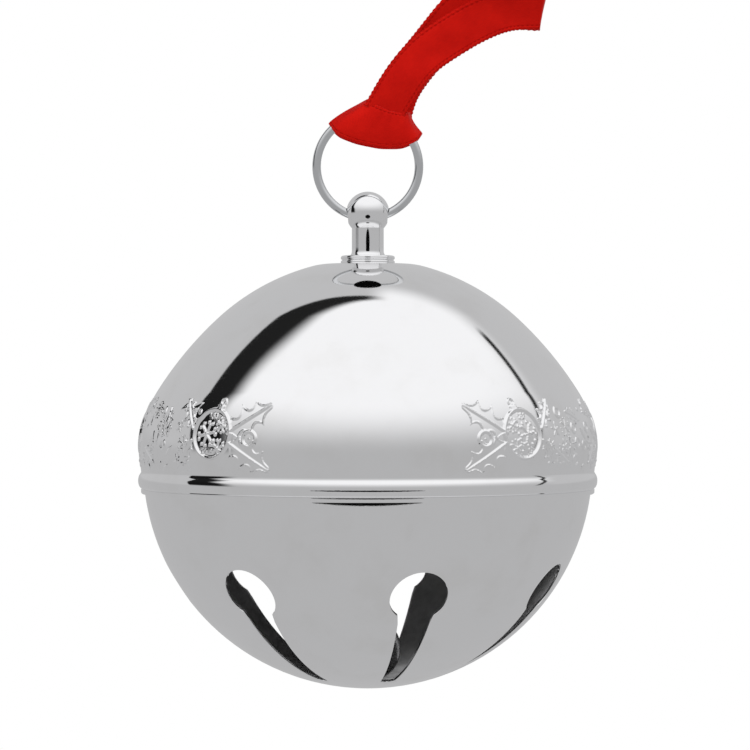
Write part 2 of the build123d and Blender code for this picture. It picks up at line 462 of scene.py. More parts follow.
# ------------------------------------------------------------------------------------ the two shells
@dataclass
class Dome:
    """The upper shell: flat seat, crown, flank, shoulder, waist, rolled bead and lip. Sizes in mm."""

    crown_height: float = 36.2
    seat_radius: float = 8.0
    shoulder_radius: float = 37.85
    shoulder_height: float = 5.0
    shoulder_bend: float = 19.0
    shoulder_sweep: float = 32.0
    flank_bend: float = 60.0
    flank_sweep: float = 15.0
    girdle_radius: float = 38.1
    waist_radius: float = 37.6
    bead_half: float = 1.75
    lip_radius: float = 37.45
    rim_radius: float = 37.0
    wall: float = 0.6
    hole_radius: float = 1.55
    segments: int = 360

    def skin(self, inset: float, steps: tuple) -> list:
        """Outline of the dome from the shoulder up to the seat's edge.

        Args:
            inset: distance inside the outer skin.
            steps: spans of the shoulder, the flank and the crown.

        Returns:
            The points.
        """
        bend, flat = self.shoulder_bend - inset, self.flank_bend - inset
        low = (self.shoulder_radius - inset - bend, self.shoulder_height)
        turn = radians(self.shoulder_sweep)
        mid = (low[0] + (bend - flat) * cos(turn), low[1] + (bend - flat) * sin(turn))
        end = self.shoulder_sweep + self.flank_sweep
        shoulder = arc(low, bend, 0, self.shoulder_sweep, steps[0])
        flank = arc(mid, flat, self.shoulder_sweep, end, steps[1])
        joint = Vector(flank[-1])
        normal = Vector((cos(radians(end)), sin(radians(end))))
        seat = Vector((self.seat_radius, self.crown_height - inset))
        radius = (joint - seat).length_squared / (2 * (joint - seat).dot(normal))
        center = joint - normal * radius
        top = degrees(atan2(seat.y - center.y, seat.x - center.x))
        crown = arc(center, radius, end, top, steps[2])
        return shoulder + flank[1:] + crown[1:]

    def outline(self) -> list:
        """Closed outline of the sheet: outside down from the seat, round the lip, and up inside.

        Returns:
            The points.
        """
        outer = self.skin(0, (24, 10, 22))
        edge, top = self.seat_radius, self.crown_height
        seat = [(self.hole_radius, top), (5.0, top), (edge - 0.9, top)]
        seat += [(edge - 0.35, top - 0.012), (edge + 0.2, top - 0.09)]
        drop = self.shoulder_radius - self.waist_radius
        span = self.shoulder_height - self.bead_half
        waist = []
        for i in range(1, 7):
            share = i / 6
            waist.append((self.shoulder_radius - drop * share**1.5, self.shoulder_height - span * share))
        bead = self.bead()
        inner = [(self.rim_radius, -self.bead_half), (self.rim_radius, 2.2)]
        inner += self.skin(self.wall, (6, 3, 6))
        inner += [(self.hole_radius, top - self.wall)]
        return seat + outer[::-1][1:] + waist + bead + inner

    def bead(self) -> list:
        """Outline of the rolled bead with its fine line, from the waist to the lip.

        Returns:
            The points.
        """
        half = self.bead_half
        bulge = self.girdle_radius - self.waist_radius
        roll = []
        for i in range(1, 15):
            share = -1 + 2 * i / 14
            height = half * 0.72 * -share + 0.35
            roll.append((self.waist_radius - 0.12 + (bulge + 0.12) * sqrt(max(0.0, 1 - share**2)), height))
        lip = [(self.lip_radius + 0.18, -half * 0.6), (self.lip_radius + 0.16, -half * 0.92)]
        return roll + lip + [(self.lip_radius + 0.05, -half)]

    def surface(self, height: np.ndarray) -> tuple[np.ndarray, np.ndarray]:
        """Radius and outward lean of the skin over the frieze.

        Args:
            height: heights above the girdle in mm.

        Returns:
            The radii in mm, and the angles of the outward normals above the horizontal.
        """
        rise = np.clip((height - self.shoulder_height) / self.shoulder_bend, -1, 1)
        lean = np.where(height > self.shoulder_height, np.arcsin(rise), 0.0)
        above = self.shoulder_radius - self.shoulder_bend * (1 - np.cos(lean))
        share = np.clip((self.shoulder_height - height) / (self.shoulder_height - self.bead_half), 0, 1)
        below = self.shoulder_radius - (self.shoulder_radius - self.waist_radius) * share**1.5
        return np.where(height > self.shoulder_height, above, below), lean

    def build(
        self, axis: Vector, silver: bpy.types.Material, lining: bpy.types.Material
    ) -> bpy.types.Object:
        """Make the shell.

        Args:
            axis: where the girdle's plane meets the bell's axis.
            silver: its finish.
            lining: the finish of its inside, greyer than the silver as painted shade.

        Returns:
            The piece.
        """
        made = Turning("dome", self.outline(), self.segments).mesh(axis)
        piece = finish_piece("dome_shell", made, silver, "bell", 40)
        line_inside(piece, axis, lining)
        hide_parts("upper_shell")
        return piece


@dataclass
class Bowl:
    """The lower shell: a spherical bowl with keyhole slots and a spigot. Sizes in mm."""

    radius: float = 37.3
    center_height: float = 3.16
    spigot_radius: float = 36.95
    spigot_height: float = 1.6
    wall: float = 0.6
    slots: int = 7
    first_slot: float = 15.0
    eye_radius: float = 4.7
    eye_angle: float = 57.5
    tip_angle: float = 18.0
    stem_half: float = 3.05
    tip_half: float = 1.2
    tip_round: float = 1.0
    plain_rows: int = 8
    tip_rows: int = 6
    stem_rows: int = 12
    eye_rows: int = 20
    columns: int = 40

    def slot_length(self) -> float:
        """Return the distance from the middle of a slot's eye to its tip."""
        return self.radius * sin(radians(self.eye_angle - self.tip_angle))

    def half_width(self, along: float) -> float:
        """Half the slot's width.

        Args:
            along: distance from the eye's middle towards the tip.

        Returns:
            Half the width there, 0 outside the slot.
        """
        length = self.slot_length()
        eye = sqrt(max(0.0, self.eye_radius**2 - along**2))
        stem = 0.0
        if 0 <= along <= length:
            stem = self.stem_half + (self.tip_half - self.stem_half) * along / length
            past = max(0.0, along - (length - self.tip_round)) / self.tip_round
            stem *= sqrt(max(0.0, 1 - past**2))
        return max(eye, stem)

    def rows(self) -> list:
        """Rows of the grid from the pole to the spigot's top.

        Returns:
            Radius, height and half the slot's width for each row.
        """
        length = self.slot_length()
        neck = sqrt(self.eye_radius**2 - self.stem_half**2)
        tip = length - self.tip_round
        slot = [tip + self.tip_round * cos(pi / 2 * i / self.tip_rows) for i in range(self.tip_rows)]
        run = tip - neck - 0.1
        slot += [tip - run * i / self.stem_rows for i in range(self.stem_rows + 1)]
        last = degrees(acos(neck / self.eye_radius))
        turns = [last + (180 - last) * i / self.eye_rows for i in range(self.eye_rows + 1)]
        slot += [self.eye_radius * cos(radians(turn)) for turn in turns]
        plain = self.plain_rows
        angles = [self.tip_angle * i / plain for i in range(plain)]
        angles += [self.eye_angle - degrees(asin(u / self.radius)) for u in slot]
        top = degrees(asin(self.spigot_radius / self.radius))
        angles += [angles[-1] + (top - angles[-1]) * i / plain for i in range(1, plain + 1)]
        closed = [0.0] * (plain + 1)
        widths = closed + [self.half_width(u) for u in slot[1:-1]] + closed
        rows = []
        for angle, width in zip(angles, widths):
            a = radians(angle)
            rows.append((self.radius * sin(a), self.center_height - self.radius * cos(a), width))
        return rows + [(self.spigot_radius, self.spigot_height, 0.0)]

    def build(
        self, axis: Vector, silver: bpy.types.Material, lining: bpy.types.Material
    ) -> bpy.types.Object:
        """Make the shell.

        Args:
            axis: where the girdle's plane meets the bell's axis.
            silver: its finish.
            lining: the finish of its inside, greyer than the silver as painted shade.

        Returns:
            The piece.
        """
        made = bmesh.new()
        rows = self.rows()
        verts = [made.verts.new((r * MM, 0, h * MM)) for r, h, _ in rows]
        edges = [made.edges.new(pair) for pair in zip(verts, verts[1:])]
        sector = tau / self.slots
        bmesh.ops.spin(
            made, geom=verts + edges, cent=(0, 0, 0), axis=(0, 0, 1), dvec=(0, 0, 0),
            angle=sector, steps=self.columns, use_merge=False, use_duplicate=False,
        )
        widths = {round(h, 4): w for _, h, w in rows}
        for vert in made.verts:
            r = hypot(vert.co.x, vert.co.y)
            width = widths[round(vert.co.z / MM, 4)] * MM
            if r < 1e-6 or width == 0:
                continue
            edge = asin(min(1.0, width / r))
            share = atan2(vert.co.y, vert.co.x) / sector
            angle = edge + share * (sector - 2 * edge)
            vert.co.x = r * cos(angle)
            vert.co.y = r * sin(angle)
        first = made.faces[:]
        for step in range(1, self.slots):
            copy = bmesh.ops.duplicate(made, geom=first)["geom"]
            copied = [v for v in copy if isinstance(v, bmesh.types.BMVert)]
            turn = Matrix.Rotation(step * sector, 3, "Z")
            bmesh.ops.rotate(made, cent=(0, 0, 0), matrix=turn, verts=copied)
        bmesh.ops.remove_doubles(made, verts=made.verts, dist=MERGE)
        turn = Matrix.Rotation(radians(self.first_slot - 90), 3, "Z")
        bmesh.ops.rotate(made, cent=(0, 0, 0), matrix=turn, verts=made.verts)
        bmesh.ops.recalc_face_normals(made, faces=made.faces)
        bmesh.ops.translate(made, verts=made.verts, vec=axis)
        center = axis + Vector((0, 0, self.center_height * MM))
        if made.faces[0].normal.dot(made.faces[0].calc_center_median() - center) < 0:
            bmesh.ops.reverse_faces(made, faces=made.faces)
        piece = finish_piece("bowl_shell", made, silver, "bell", 35)
        piece.data.materials.append(lining)
        thicken(piece, self.wall, -1.0, 1)
        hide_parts("lower_shell")
        return piece


# ------------------------------------------------------------------------------------------- frieze
class Motif(Enum):
    """What a stamp of the frieze shows."""

    HOLLY = "holly"
    BALL = "ball"
    FLAKE = "flake"
    BERRY = "berry"
    FLOWER = "flower"
    LEAF = "leaf"
    DOT = "dot"


@dataclass(frozen=True)
class Stamp:
    """One raised motif, placed by its distance round the girdle and its height. Sizes in mm."""

    motif: Motif
    around: float
    height: float
    size: float
    turn: float = 0.0
    lift: float = 1.0

    def relief(self, around: np.ndarray, height: np.ndarray) -> np.ndarray:
        """Raised height of the motif.

        Args:
            around: distances round the girdle.
            height: heights above it.

        Returns:
            The relief in mm, 0 outside the motif.
        """
        a = radians(self.turn)
        dx, dz = around - self.around, height - self.height
        u, v = dx * cos(a) + dz * sin(a), dz * cos(a) - dx * sin(a)
        return self.lift * getattr(self, self.motif.value)(u, v)

    @staticmethod
    def step(inside: np.ndarray, width: float) -> np.ndarray:
        """Smooth rise from 0 at an edge to 1 inside it.

        Args:
            inside: distance inside the edge.
            width: over which it rises.

        Returns:
            The rise.
        """
        t = np.clip(inside / width, 0, 1)
        return t * t * (3 - 2 * t)

    def holly(self, u: np.ndarray, v: np.ndarray) -> np.ndarray:
        """Holly leaf along u: hollow scallops between pointed lobes, a raised rim, midrib and veins.

        Args:
            u: distances along the motif.
            v: distances across it.

        Returns:
            The relief in mm.
        """
        t = np.clip(u / self.size, 0, 1)
        lobes = np.abs(np.sin(pi * (t * 3.5 + 0.5))) ** 0.62
        wide = 0.35 * self.size * np.sin(pi * t**0.8) ** 0.6 * (1 - 0.52 * lobes)
        inside = np.where((u > 0) & (u < self.size), wide - np.abs(v), -1)
        rim = 0.36 * np.exp(-(((inside - 0.2) / 0.19) ** 2)) * (inside > 0)
        rib = 0.46 * np.exp(-((v / 0.2) ** 2)) * ((u > -0.4) & (u < self.size))
        lean = (u - 0.8 * np.abs(v)) % (self.size / 4) - self.size / 8
        veins = 0.16 * np.exp(-((lean / 0.15) ** 2)) * (inside > 0.25)
        return np.maximum.reduce([0.16 * self.step(inside, 0.2), rim, rib, veins])

    def ball(self, u: np.ndarray, v: np.ndarray) -> np.ndarray:
        """Tree ball: a level face in a rolled rim, with a cap and a loop.

        Args:
            u: distances along the motif.
            v: distances across it.

        Returns:
            The relief in mm.
        """
        r = self.size / 2
        rho = np.hypot(u, v)
        face = 0.1 * self.step(r - rho, 0.2)
        rim = 0.5 * np.exp(-(((rho - r * 0.95) / 0.27) ** 2))
        cap = 0.45 * self.step(0.8 - np.maximum(np.abs(u), np.abs(v - r - 0.2) * 1.7), 0.2)
        loop = 0.4 * np.exp(-(((np.hypot(u, v - r - 1.1) - 0.5) / 0.16) ** 2))
        return np.maximum.reduce([face, rim, cap, loop])

    def flake(self, u: np.ndarray, v: np.ndarray) -> np.ndarray:
        """Snowflake of six forked arms.

        Args:
            u: distances along the motif.
            v: distances across it.

        Returns:
            The relief in mm.
        """
        r = self.size / 2
        made = np.zeros_like(u)
        for k in range(6):
            a = pi / 3 * k
            p, q = u * cos(a) + v * sin(a), np.abs(v * cos(a) - u * sin(a))
            arm = np.where((p > -0.1) & (p < r * 0.8), 0.05 * r + 0.02 - q, -1)
            fork = 0.09 * r + 0.02 - np.hypot(p - r * 0.84, q - r * 0.2)
            made = np.maximum(made, self.step(np.maximum(arm, fork) + 0.05, 0.14))
        return 0.36 * made

    def berry(self, u: np.ndarray, v: np.ndarray) -> np.ndarray:
        """Berry with a raised rim and a small calyx.

        Args:
            u: distances along the motif.
            v: distances across it.

        Returns:
            The relief in mm.
        """
        r = self.size / 2
        rho = np.hypot(u, v)
        return 0.42 * np.exp(-(((rho - r * 0.8) / 0.26) ** 2)) + 0.16 * np.exp(-((rho / 0.25) ** 2))

    def flower(self, u: np.ndarray, v: np.ndarray) -> np.ndarray:
        """Five-petalled flower.

        Args:
            u: distances along the motif.
            v: distances across it.

        Returns:
            The relief in mm.
        """
        rho, phi = np.hypot(u, v), np.arctan2(v, u)
        inside = self.size / 2 * (0.58 + 0.42 * np.cos(5 * phi)) - rho
        return 0.28 * self.step(inside, 0.3) + 0.2 * np.exp(-((rho / 0.28) ** 2))

    def leaf(self, u: np.ndarray, v: np.ndarray) -> np.ndarray:
        """Plain pointed leaf along u, with a midrib.

        Args:
            u: distances along the motif.
            v: distances across it.

        Returns:
            The relief in mm.
        """
        t = np.clip(u / self.size, 0, 1)
        inside = np.where((u > 0) & (u < self.size), 0.2 * self.size * np.sin(pi * t) - np.abs(v), -1)
        return 0.24 * self.step(inside, 0.22) + 0.12 * np.exp(-((v / 0.13) ** 2)) * (inside > 0)

    def dot(self, u: np.ndarray, v: np.ndarray) -> np.ndarray:
        """Round bead."""
        return 0.32 * np.sqrt(np.clip(1 - (np.hypot(u, v) / (self.size / 2)) ** 2, 0, 1))


@dataclass
class Frieze:
    """The chased band of holly, berries, tree balls and snow on the dome. Sizes in mm."""

    dome: Dome
    low: float = 2.2
    high: float = 14.6
    plain_half: float = 20.5
    pitch: float = 0.14
    sunk: float = 0.07
    backing: float = 0.22
    border: float = 0.5
    face_floor: float = 0.05
    seed: int = 12
    rows: int = 4
    row_step: float = 2.7
    column_step: float = 2.9
    tip_angle: float = 23.6
    ball_places: tuple = (0.52, 0.84)
    ball_room: float = 5.0
    small_lift: float = 0.62
    names: tuple = ("right_front", "right_side", "right_back", "left_back", "left_side", "left_front")
    flakes: tuple = (
        (12.1, 8.6, 4.2, 12),
        (9.1, 10.0, 2.6, 40),
        (9.6, 6.4, 3.0, 25),
        (11.3, 11.6, 1.7, 0),
        (12.6, 5.6, 1.9, 10),
    )
    stamps: list = field(default_factory=list)

    def cluster(self, side: int, at: float) -> None:
        """Add two holly leaves, a berry and a snowy ball.

        Args:
            side: 1 to face one way round the girdle, -1 for the other.
            at: distance of the leaf tips round the girdle.
        """
        lean = 180 if side > 0 else 0

        def stamp(motif: Motif, out: float, height: float, size: float, turn: float = 0.0) -> None:
            """Place one motif of the cluster, out millimetres past the leaf tips."""
            self.stamps.append(Stamp(motif, at + side * out, height, size, turn))

        stamp(Motif.HOLLY, 7.6, 8.9, 8.6, lean - side * 30)
        stamp(Motif.HOLLY, 7.3, 7.2, 8.4, lean + side * 30)
        stamp(Motif.BERRY, 3.6, 7.9, 2.9)
        stamp(Motif.BALL, 11.1, 8.6, 8.0, side * 14)
        for out, height, size, turn in self.flakes:
            stamp(Motif.FLAKE, out, height, size, turn)
        stamp(Motif.HOLLY, 15.6, 9.6, 5.4, lean - side * 125)
        stamp(Motif.HOLLY, 15.6, 7.4, 5.2, lean + side * 130)

    def fill(self, start: float, end: float) -> None:
        """Scatter small motifs over the rest of the band.

        Args:
            start: where the stretch begins round the girdle.
            end: where it ends.
        """
        draw = np.random.default_rng(self.seed)
        kinds = (
            (Motif.FLAKE, 3.2), (Motif.FLOWER, 2.7), (Motif.LEAF, 3.4), (Motif.LEAF, 3.4), (Motif.DOT, 1.0),
            (Motif.HOLLY, 4.8), (Motif.BERRY, 2.0),
        )
        balls = [s for s in self.stamps if s.motif is Motif.BALL]
        column = start
        while column < end:
            for row in range(self.rows):
                kind, usual = kinds[int(draw.integers(len(kinds)))]
                around = column + float(draw.uniform(-0.5, 0.5)) + (row % 2) * 1.3
                height = 4.0 + row * self.row_step + float(draw.uniform(-0.35, 0.35))
                size = usual * float(draw.uniform(0.9, 1.15))
                turn = float(draw.uniform(0, 360))
                if all(hypot(self.apart(around, b), height - b.height) > self.ball_room for b in balls):
                    self.stamps.append(Stamp(kind, around, height, size, turn, self.small_lift))
            column += self.column_step

    def apart(self, around: "float | np.ndarray", stamp: Stamp) -> "float | np.ndarray":
        """Distance round the girdle from a stamp, the short way.

        Args:
            around: one or more distances round the girdle, from the front.
            stamp: the stamp.

        Returns:
            The signed distances.
        """
        half = pi * self.dome.shoulder_radius
        return (around - stamp.around + half) % (2 * half) - half

    def plan(self) -> None:
        """Lay the whole frieze out round the girdle."""
        tip = radians(self.tip_angle) * self.dome.shoulder_radius
        half = pi * self.dome.shoulder_radius
        for side in (1, -1):
            self.cluster(side, side * tip)
            for place in self.ball_places:
                around = side * half * place
                self.stamps.append(Stamp(Motif.BALL, around, 8.1, 7.4, side * 10))
                self.stamps.append(Stamp(Motif.FLAKE, around, 8.1, 5.2, 15))
        self.fill(tip + 16.5, 2 * half - tip - 16.0)

    def height(self, around: np.ndarray, height: np.ndarray) -> np.ndarray:
        """Relief over the band.

        Args:
            around: distances round the girdle, from the front.
            height: heights above the girdle.

        Returns:
            The relief, sunk where there is no motif.
        """
        made = np.zeros_like(around)
        balls = [s for s in self.stamps if s.motif is Motif.BALL]
        for stamp in self.stamps:
            near = self.apart(around, stamp)
            reach = stamp.size * 1.15 + 1.0
            pick = np.hypot(near, height - stamp.height) < reach
            if not pick.any():
                continue
            lift = stamp.relief(stamp.around + near[pick], height[pick])
            gaps = [hypot(stamp.around - b.around, stamp.height - b.height) - b.size / 2 for b in balls]
            if stamp.motif is Motif.FLAKE and min(gaps) < 0:
                raised = np.maximum(made[pick], lift)
                made[pick] = np.where(made[pick] > self.face_floor, raised, made[pick])
            else:
                made[pick] = np.maximum(made[pick], lift)
        rise = np.clip((height - self.low) / self.border, 0, 1)
        fall = np.clip((self.high - height) / self.border, 0, 1)
        return made * rise * fall - self.sunk

    def plate(self, axis: Vector, first: float, last: float) -> bmesh.types.BMesh:
        """Make one curved plate of the band, with its back.

        Args:
            axis: where the girdle's plane meets the bell's axis.
            first: where it begins round the axis, in radians.
            last: where it ends.

        Returns:
            Its mesh.
        """
        across = int((last - first) * self.dome.shoulder_radius / self.pitch)
        up = int((self.high - self.low) / self.pitch)
        made = bmesh.new()
        bmesh.ops.create_grid(made, x_segments=across, y_segments=up, size=0.5)
        flat = np.array([v.co[:] for v in made.verts])
        turn = first + (flat[:, 0] + 0.5) * (last - first)
        height = self.low + (flat[:, 1] + 0.5) * (self.high - self.low)
        radius, lean = self.dome.surface(height)
        copy = bmesh.ops.duplicate(made, geom=made.faces[:])["geom"]
        back = [v for v in copy if isinstance(v, bmesh.types.BMVert)]
        hidden = set(back)
        front = [v for v in made.verts if v not in hidden]
        relief = self.height(turn * self.dome.shoulder_radius, height)
        for group, lift in ((front, relief), (back, np.full_like(relief, -self.sunk - self.backing))):
            out = radius + lift * np.cos(lean)
            place = np.stack([out * np.sin(turn), -out * np.cos(turn), height + lift * np.sin(lean)], 1)
            for vert, point in zip(group, place * MM):
                vert.co = point
        bmesh.ops.bridge_loops(made, edges=[e for e in made.edges if e.is_boundary])
        bmesh.ops.recalc_face_normals(made, faces=made.faces)
        bmesh.ops.translate(made, verts=made.verts, vec=axis)
        return made

    def build(self, axis: Vector, silver: bpy.types.Material) -> list:
        """Make the band in curved plates.

        Args:
            axis: where the girdle's plane meets the bell's axis.
            silver: its finish.

        Returns:
            The pieces.
        """
        self.plan()
        pieces = []
        span = (360 - 2 * self.plain_half) / len(self.names)
        for index, name in enumerate(self.names):
            first = radians(self.plain_half + index * span)
            last = radians(self.plain_half + (index + 1) * span)
            made = self.plate(axis, first, last)
            pieces.append(finish_piece(f"frieze_{name}", made, silver, "bell", 75))
        return pieces


# ------------------------------------------------------------------------- finial, collar and ring
@dataclass
class Finial:
    """The turned ball, neck and stud, and the collar under it. Sizes in mm above the girdle."""

    crown: float = 36.2
    collar_thickness: float = 1.45
    collar_radius: float = 4.5
    ball_radius: float = 3.62
    ball_height: float = 8.5
    neck_radius: float = 2.65
    foot_radius: float = 2.95
    foot_height: float = 0.8
    stud_radius: float = 1.45
    stud_end: float = 31.9
    stud_tip: float = 0.3
    hole_drop: float = 0.25
    hole_radius: float = 1.37

    def outline(self) -> list:
        """Outline of the ball, neck and stud from the top down.

        Returns:
            The points.
        """
        middle = self.crown + self.ball_height
        base = self.crown + self.collar_thickness
        low = -degrees(acos(self.neck_radius / self.ball_radius))
        ball = arc((0, middle), self.ball_radius, 90, low, 30)
        neck = [(self.neck_radius, ball[-1][1] - 0.12), (self.neck_radius, base + self.foot_height + 0.6)]
        flare = self.foot_radius - self.neck_radius
        for share in (0, 0.2, 0.4, 0.6, 0.8, 1):
            neck.append((self.neck_radius + flare * share**2, base + self.foot_height * (1 - share)))
        shank, end, tip = self.stud_radius, self.stud_end, self.stud_tip
        return ball + neck + [(shank, base), (shank, end + tip), (shank - tip, end), (0, end)]

    def collar_outline(self) -> list:
        """Closed outline of the collar, with two rounded edges and a groove between them.

        Returns:
            The points.
        """
        half = self.collar_thickness / 2
        soft = half / 2
        inner = self.stud_radius + 0.1
        edge, top = self.collar_radius, self.crown + self.collar_thickness
        upper = arc((edge - soft, self.crown + half + soft), soft, 90, -70, 8)
        lower = arc((edge - soft, self.crown + soft), soft, 70, -90, 8)
        step = [(edge - 1.1, top), (edge - 1.0, top - 0.12)]
        return [(inner, top)] + step + upper + lower + [(inner, self.crown)]

    def build(self, axis: Vector, silver: bpy.types.Material) -> list:
        """Make the finial and its collar.

        Args:
            axis: where the girdle's plane meets the bell's axis.
            silver: their finish.

        Returns:
            The pieces.
        """
        body = Turning("finial", self.outline(), 128, closed=False).mesh(axis)
        finial = finish_piece("ball_finial", body, silver, "bell", 30)
        drill = bmesh.new()
        height = self.crown + self.ball_height - self.hole_drop
        place = Matrix.Translation(axis + Vector((0, 0, height * MM))) @ Matrix.Rotation(pi / 2, 4, "Y")
        bmesh.ops.create_cone(
            drill, cap_ends=True, segments=64, radius1=self.hole_radius * MM,
            radius2=self.hole_radius * MM, depth=4 * self.ball_radius * MM, matrix=place,
        )
        cut_piece(finial, drill)
        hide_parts("finial")
        ring = Turning("collar", self.collar_outline(), 128).mesh(axis)
        collar = finish_piece("grooved_collar", ring, silver, "bell", 40)
        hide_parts("collar")
        return [finial, collar]


def cut_piece(piece: bpy.types.Object, cutter: bmesh.types.BMesh) -> None:
    """Subtract a mesh from a piece for good.

    Args:
        piece: what is cut.
        cutter: the shape taken away, which is freed.
    """
    data = bpy.data.meshes.new("cutter")
    cutter.to_mesh(data)
    cutter.free()
    tool = bpy.data.objects.new("cutter", data)
    bpy.context.scene.collection.objects.link(tool)
    modifier = piece.modifiers.new("cut", "BOOLEAN")
    modifier.object = tool
    modifier.operation = "DIFFERENCE"
    modifier.solver = "EXACT"
    bpy.context.view_layer.update()
    evaluated = piece.evaluated_get(bpy.context.evaluated_depsgraph_get())
    made = bpy.data.meshes.new_from_object(evaluated)
    made.shade_smooth()
    made.set_sharp_from_angle(angle=radians(30))
    piece.modifiers.clear()
    piece.data = made
    bpy.data.objects.remove(tool)


@dataclass
class HangingRing:
    """The closed jump ring of round wire. Sizes in mm."""

    center: Vector
    radius: float = 8.52
    wire: float = 0.715
    gap: float = 0.12

    def build(self, material: bpy.types.Material) -> bpy.types.Object:
        """Make the ring.

        Args:
            material: its finish.

        Returns:
            The piece.
        """
        made = bmesh.new()
        open_angle = self.gap / self.radius
        place = Matrix.Translation((0, 0, self.radius * MM)) @ Matrix.Rotation(pi / 2, 4, "Y")
        bmesh.ops.create_circle(made, cap_ends=True, segments=40, radius=self.wire * MM, matrix=place)
        start = Matrix.Rotation(open_angle / 2, 3, "Y")
        bmesh.ops.rotate(made, cent=(0, 0, 0), matrix=start, verts=made.verts)
        end = made.faces[:] + made.edges[:] + made.verts[:]
        bmesh.ops.spin(
            made, geom=end, cent=(0, 0, 0), axis=(0, 1, 0), dvec=(0, 0, 0),
            angle=tau - open_angle, steps=220, use_merge=False, use_duplicate=False,
        )
        bmesh.ops.recalc_face_normals(made, faces=made.faces)
        bmesh.ops.translate(made, verts=made.verts, vec=self.center)
        piece = finish_piece("jump_ring", made, material, "ring", 50)
        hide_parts("hanging_ring")
        return piece


# ------------------------------------------------------------------------------------------ ribbon
@dataclass
class RibbonLoop:
    """The two strands of satin ribbon and the fold that the ornament hangs by. Sizes in mm."""

    width: float = 7.0
    thickness: float = 0.3
    spacing: float = 3.0
    length: float = 70.0
    picot: float = 0.82
    picot_rows: int = 6
    scallop: float = 0.06
    bow: float = 0.3
    ruffle: float = 0.1
    twist: float = -12.0
    columns: int = 16
    front: tuple = (
        (-25.6, -17.6),
        (-23.6, -14.2),
        (-21.3, -10.6),
        (-18.5, -7.5),
        (-14.5, -4.7),
        (-9.8, -1.9),
        (-5.06, 0.0),
        (-0.2, 0.2),
    )
    rear: tuple = (
        (-0.2, 0.2),
        (-4.8, 0.8),
        (-9.0, 1.6),
        (-12.6, 0.1),
        (-15.4, -3.3),
        (-18.3, -7.0),
        (-21.2, -10.4),
        (-23.3, -14.2),
        (-23.9, -17.4),
    )

    def spline(self) -> bpy.types.Object:
        """Draw the middle line as a smooth curve: up the front, round the fold, down the back.

        Returns:
            The curve.
        """
        half = self.spacing / 2
        front = [(x, -half, z) for x, z in self.front]
        fold = [(1.4, -half, 0.2), (1.4, half, 0.2)]
        rear = [(x, half, z) for x, z in self.rear]
        points = [Vector(p) * MM for p in front + fold + rear]
        data = bpy.data.curves.new("ribbon_line", "CURVE")
        data.dimensions = "3D"
        line = data.splines.new("NURBS")
        line.points.add(len(points) - 1)
        for point, place in zip(line.points, points):
            point.co = (*place, 1.0)
        line.order_u = 3
        line.use_endpoint_u = True
        line.resolution_u = 12
        return bpy.data.objects.new("ribbon_line", data)

    def path(self) -> tuple[list, list]:
        """Read the middle line.

        Returns:
            Its points, and their distances along it.
        """
        line = self.spline()
        bpy.context.scene.collection.objects.link(line)
        points = [v.co.copy() for v in bpy.data.meshes.new_from_object(line).vertices]
        bpy.data.objects.remove(line)
        steps = [0.0]
        for before, after in zip(points, points[1:]):
            steps.append(steps[-1] + (after - before).length)
        return points, steps

    def build(self, satin: bpy.types.Material, hitch: bpy.types.Object) -> bpy.types.Object:
        """Make the loop.

        Args:
            satin: its finish.
            hitch: the knot that the loop leaves; not used.

        Returns:
            The piece.
        """
        points, steps = self.path()
        total = steps[-1]
        made = bmesh.new()
        rows = int(total / (self.picot * MM) * self.picot_rows)
        bmesh.ops.create_grid(made, x_segments=rows, y_segments=self.columns, size=0.5)
        weave = made.loops.layers.uv.new("weave")
        for face in made.faces:
            for loop in face.loops:
                along, across = loop.vert.co.x + 0.5, loop.vert.co.y + 0.5
                loop[weave].uv = (across * self.width * MM, along * total)
        for vert in made.verts:
            vert.co = self.place(points, steps, (vert.co.x + 0.5) * total, vert.co.y * 2)
        bmesh.ops.recalc_face_normals(made, faces=made.faces)
        piece = finish_piece("satin_ribbon", made, satin, "ribbon", 60)
        piece.visible_glossy = False
        thicken(piece, self.thickness)
        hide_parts("ribbon_loop")
        LOG.info("ribbon length %.1f mm", total / MM)
        return piece

    def place(self, points: list, steps: list, s: float, across: float) -> Vector:
        """Place a point of the cloth.

        Args:
            points: the middle line.
            steps: distances along it.
            s: distance along it.
            across: from -1 at one selvedge to 1 at the other.

        Returns:
            The point.
        """
        total = steps[-1]
        i = max(1, min(len(steps) - 1, int(np.searchsorted(steps, s))))
        share = (s - steps[i - 1]) / max(1e-9, steps[i] - steps[i - 1])
        before, after = points[max(0, i - 2)], points[min(len(points) - 1, i + 1)]
        tangent = (after - before).normalized()
        way = 1 if tangent.x > 0 else -1
        side = Vector((-tangent.z * way, 0, abs(tangent.x) + tangent.y**2)).normalized()
        side = (side - tangent * side.dot(tangent)).normalized()
        normal = tangent.cross(side).normalized()
        t = s / total
        keep = min(1.0, 9 * min(t, 1 - t))
        twist = radians(self.twist) * sin(tau * t * 1.5 + 0.3) * keep
        side, normal = side * cos(twist) + normal * sin(twist), normal * cos(twist) - side * sin(twist)
        scallop = self.scallop * cos(tau * s / (self.picot * MM)) * (abs(across) > 0.99)
        bow = self.bow * (1 - across**2) * sin(3 * pi * t + 0.5)
        bow += self.ruffle * sin(9 * pi * t + 2 * across)
        reach = across * (self.width / 2 + scallop) * (1 - 0.05 * (1 - keep))
        return points[i - 1].lerp(points[i], share) + (side * reach + normal * (bow * keep)) * MM


